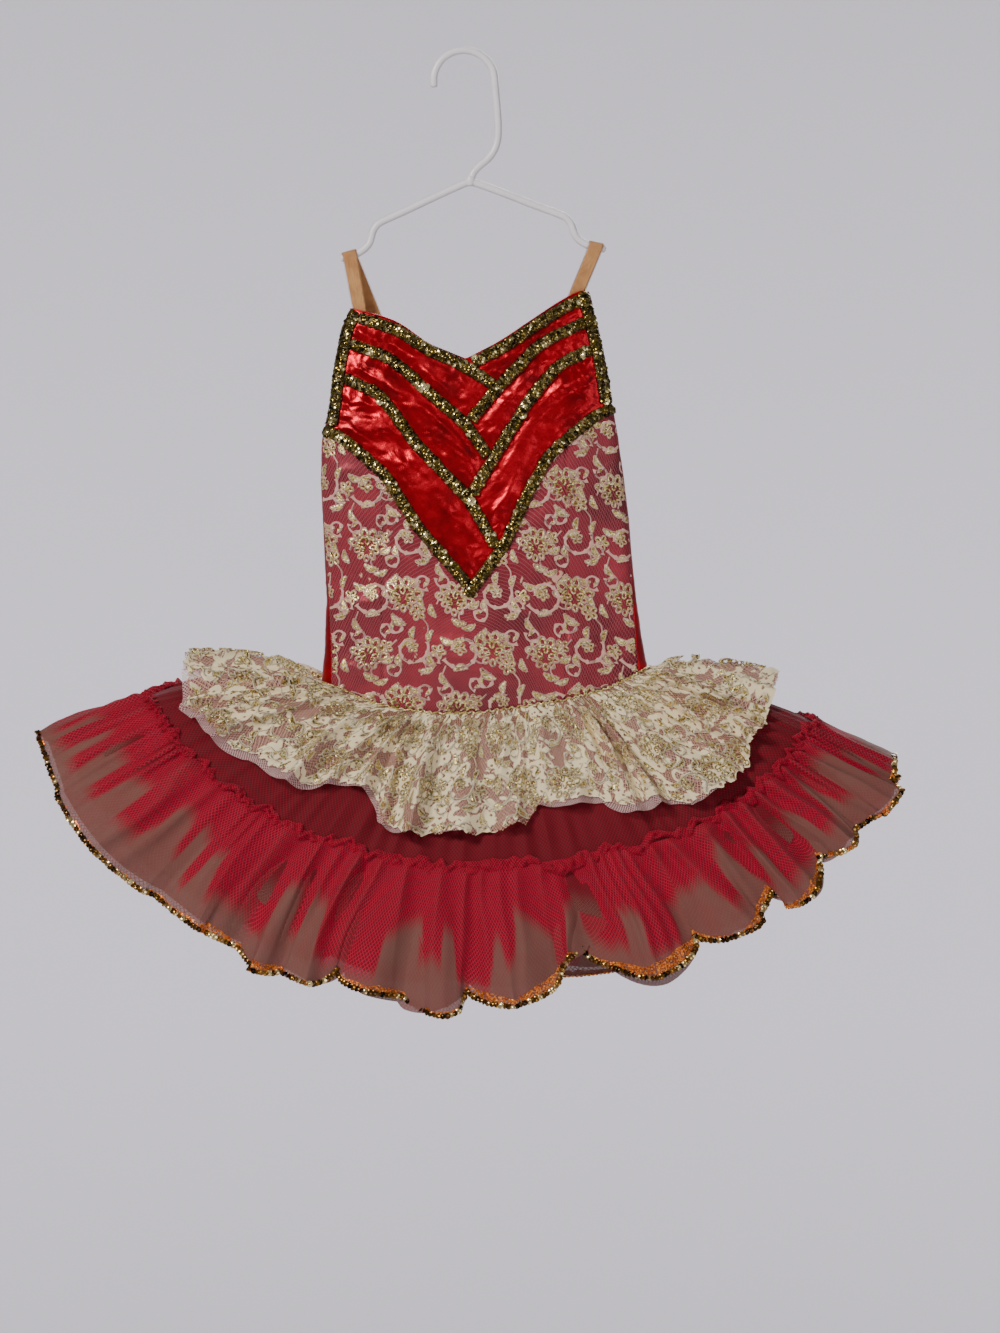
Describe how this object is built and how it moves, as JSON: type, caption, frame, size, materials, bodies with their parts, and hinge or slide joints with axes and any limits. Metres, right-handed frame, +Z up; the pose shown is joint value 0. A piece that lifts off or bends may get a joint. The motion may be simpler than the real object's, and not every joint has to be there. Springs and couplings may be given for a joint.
{
  "type": "tutu dance costume on a plastic hanger",
  "caption": "Child's tutu dance costume on a hanger: V-neck bodice with sequin trims over lace, gathered lace overskirt and a wide tulle skirt.",
  "frame": {"origin": "the inner crown of the hanger's hook, where a rail holds it up", "axes": "+Z up, -Y out of the costume's front, +X to the viewer's right as seen from the front"},
  "size_m": [0.7321, 0.1983, 0.8169],
  "materials": {
    "red_satin": "crushed red satin with a soft sheen",
    "lace_over_satin": "cream and gold corded net lace over red satin",
    "gold_lace": "cream and gold corded lace with glitter",
    "pale_net": "pale sheer net, hazy",
    "gold_sequins": "braid covered in shiny antique gold sequins",
    "tan_elastic": "matte tan elastic with a picot edge",
    "red_tulle": "dense deep red tulle",
    "sheer_tulle": "sheer dark red tulle with a sequinned hem",
    "white_plastic": "smooth white plastic"
  },
  "bodies": {
    "root": {"armhole_trim_left": "gold_sequins", "armhole_trim_right": "gold_sequins", "back": "red_satin", "fourth_trim_left": "gold_sequins", "fourth_trim_right": "gold_sequins", "front_centre": "lace_over_satin", "front_side_left": "lace_over_satin", "front_side_right": "lace_over_satin", "front_yoke": "red_satin", "hanger": "white_plastic", "neck_trim_left": "gold_sequins", "neck_trim_right": "gold_sequins", "overskirt_lace": "gold_lace", "overskirt_lining": "pale_net", "petticoat": "red_tulle", "second_trim_left": "gold_sequins", "second_trim_right": "gold_sequins", "skirt_ruffle": "sheer_tulle", "skirt_tier": "red_tulle", "strap_left": "tan_elastic", "strap_right": "tan_elastic", "third_trim_left": "gold_sequins", "third_trim_right": "gold_sequins"}
  },
  "joints": []
}
